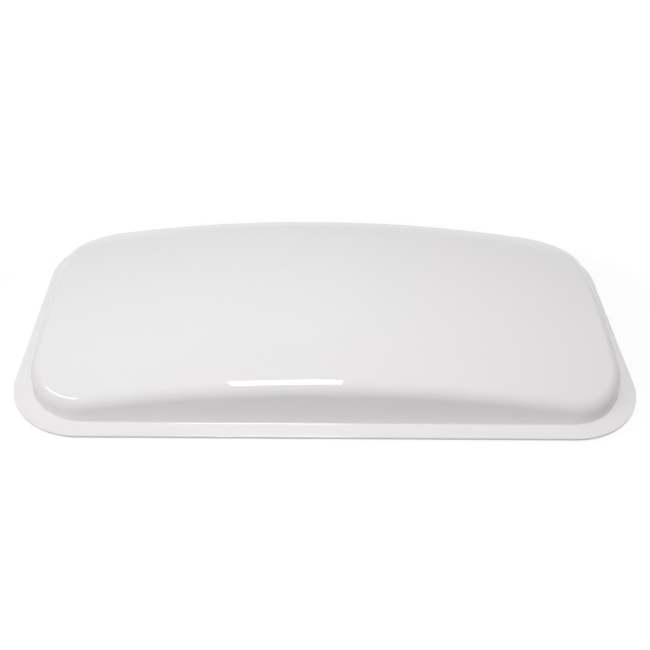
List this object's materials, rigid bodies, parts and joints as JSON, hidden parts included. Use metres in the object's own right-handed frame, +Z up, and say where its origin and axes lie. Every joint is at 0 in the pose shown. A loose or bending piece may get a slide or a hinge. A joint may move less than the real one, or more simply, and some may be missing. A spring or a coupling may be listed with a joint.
{
  "type": "rv skylight",
  "caption": "Fixed rectangular roof skylight for a caravan: a glossy white double-crowned dome on a flat flange, over a shallow clear inner dome, on a foam seal.",
  "frame": {"origin": "on the roof surface, under the middle of the dome, at the underside of the foam seal", "axes": "+X along the skylight, -Y towards its front side, +Z up, out of the roof"},
  "size_m": [0.832, 0.416, 0.0991],
  "materials": {
    "outer_acrylic": "opal white acrylic sheet, as formed, high gloss",
    "inner_acrylic": "clear acrylic sheet, as formed, high gloss",
    "tape": "white closed-cell glazing tape",
    "plug_rubber": "pale grey moulded rubber, matte",
    "seal_foam": "white closed-cell foam, matte"
  },
  "bodies": {
    "root": {"outer_dome": "outer_acrylic", "inner_dome": "inner_acrylic", "glazing_tape": "tape", "breather_plugs": "plug_rubber", "front_seal": "seal_foam", "rear_seal": "seal_foam", "left_end_seal": "seal_foam", "right_end_seal": "seal_foam"}
  },
  "joints": []
}
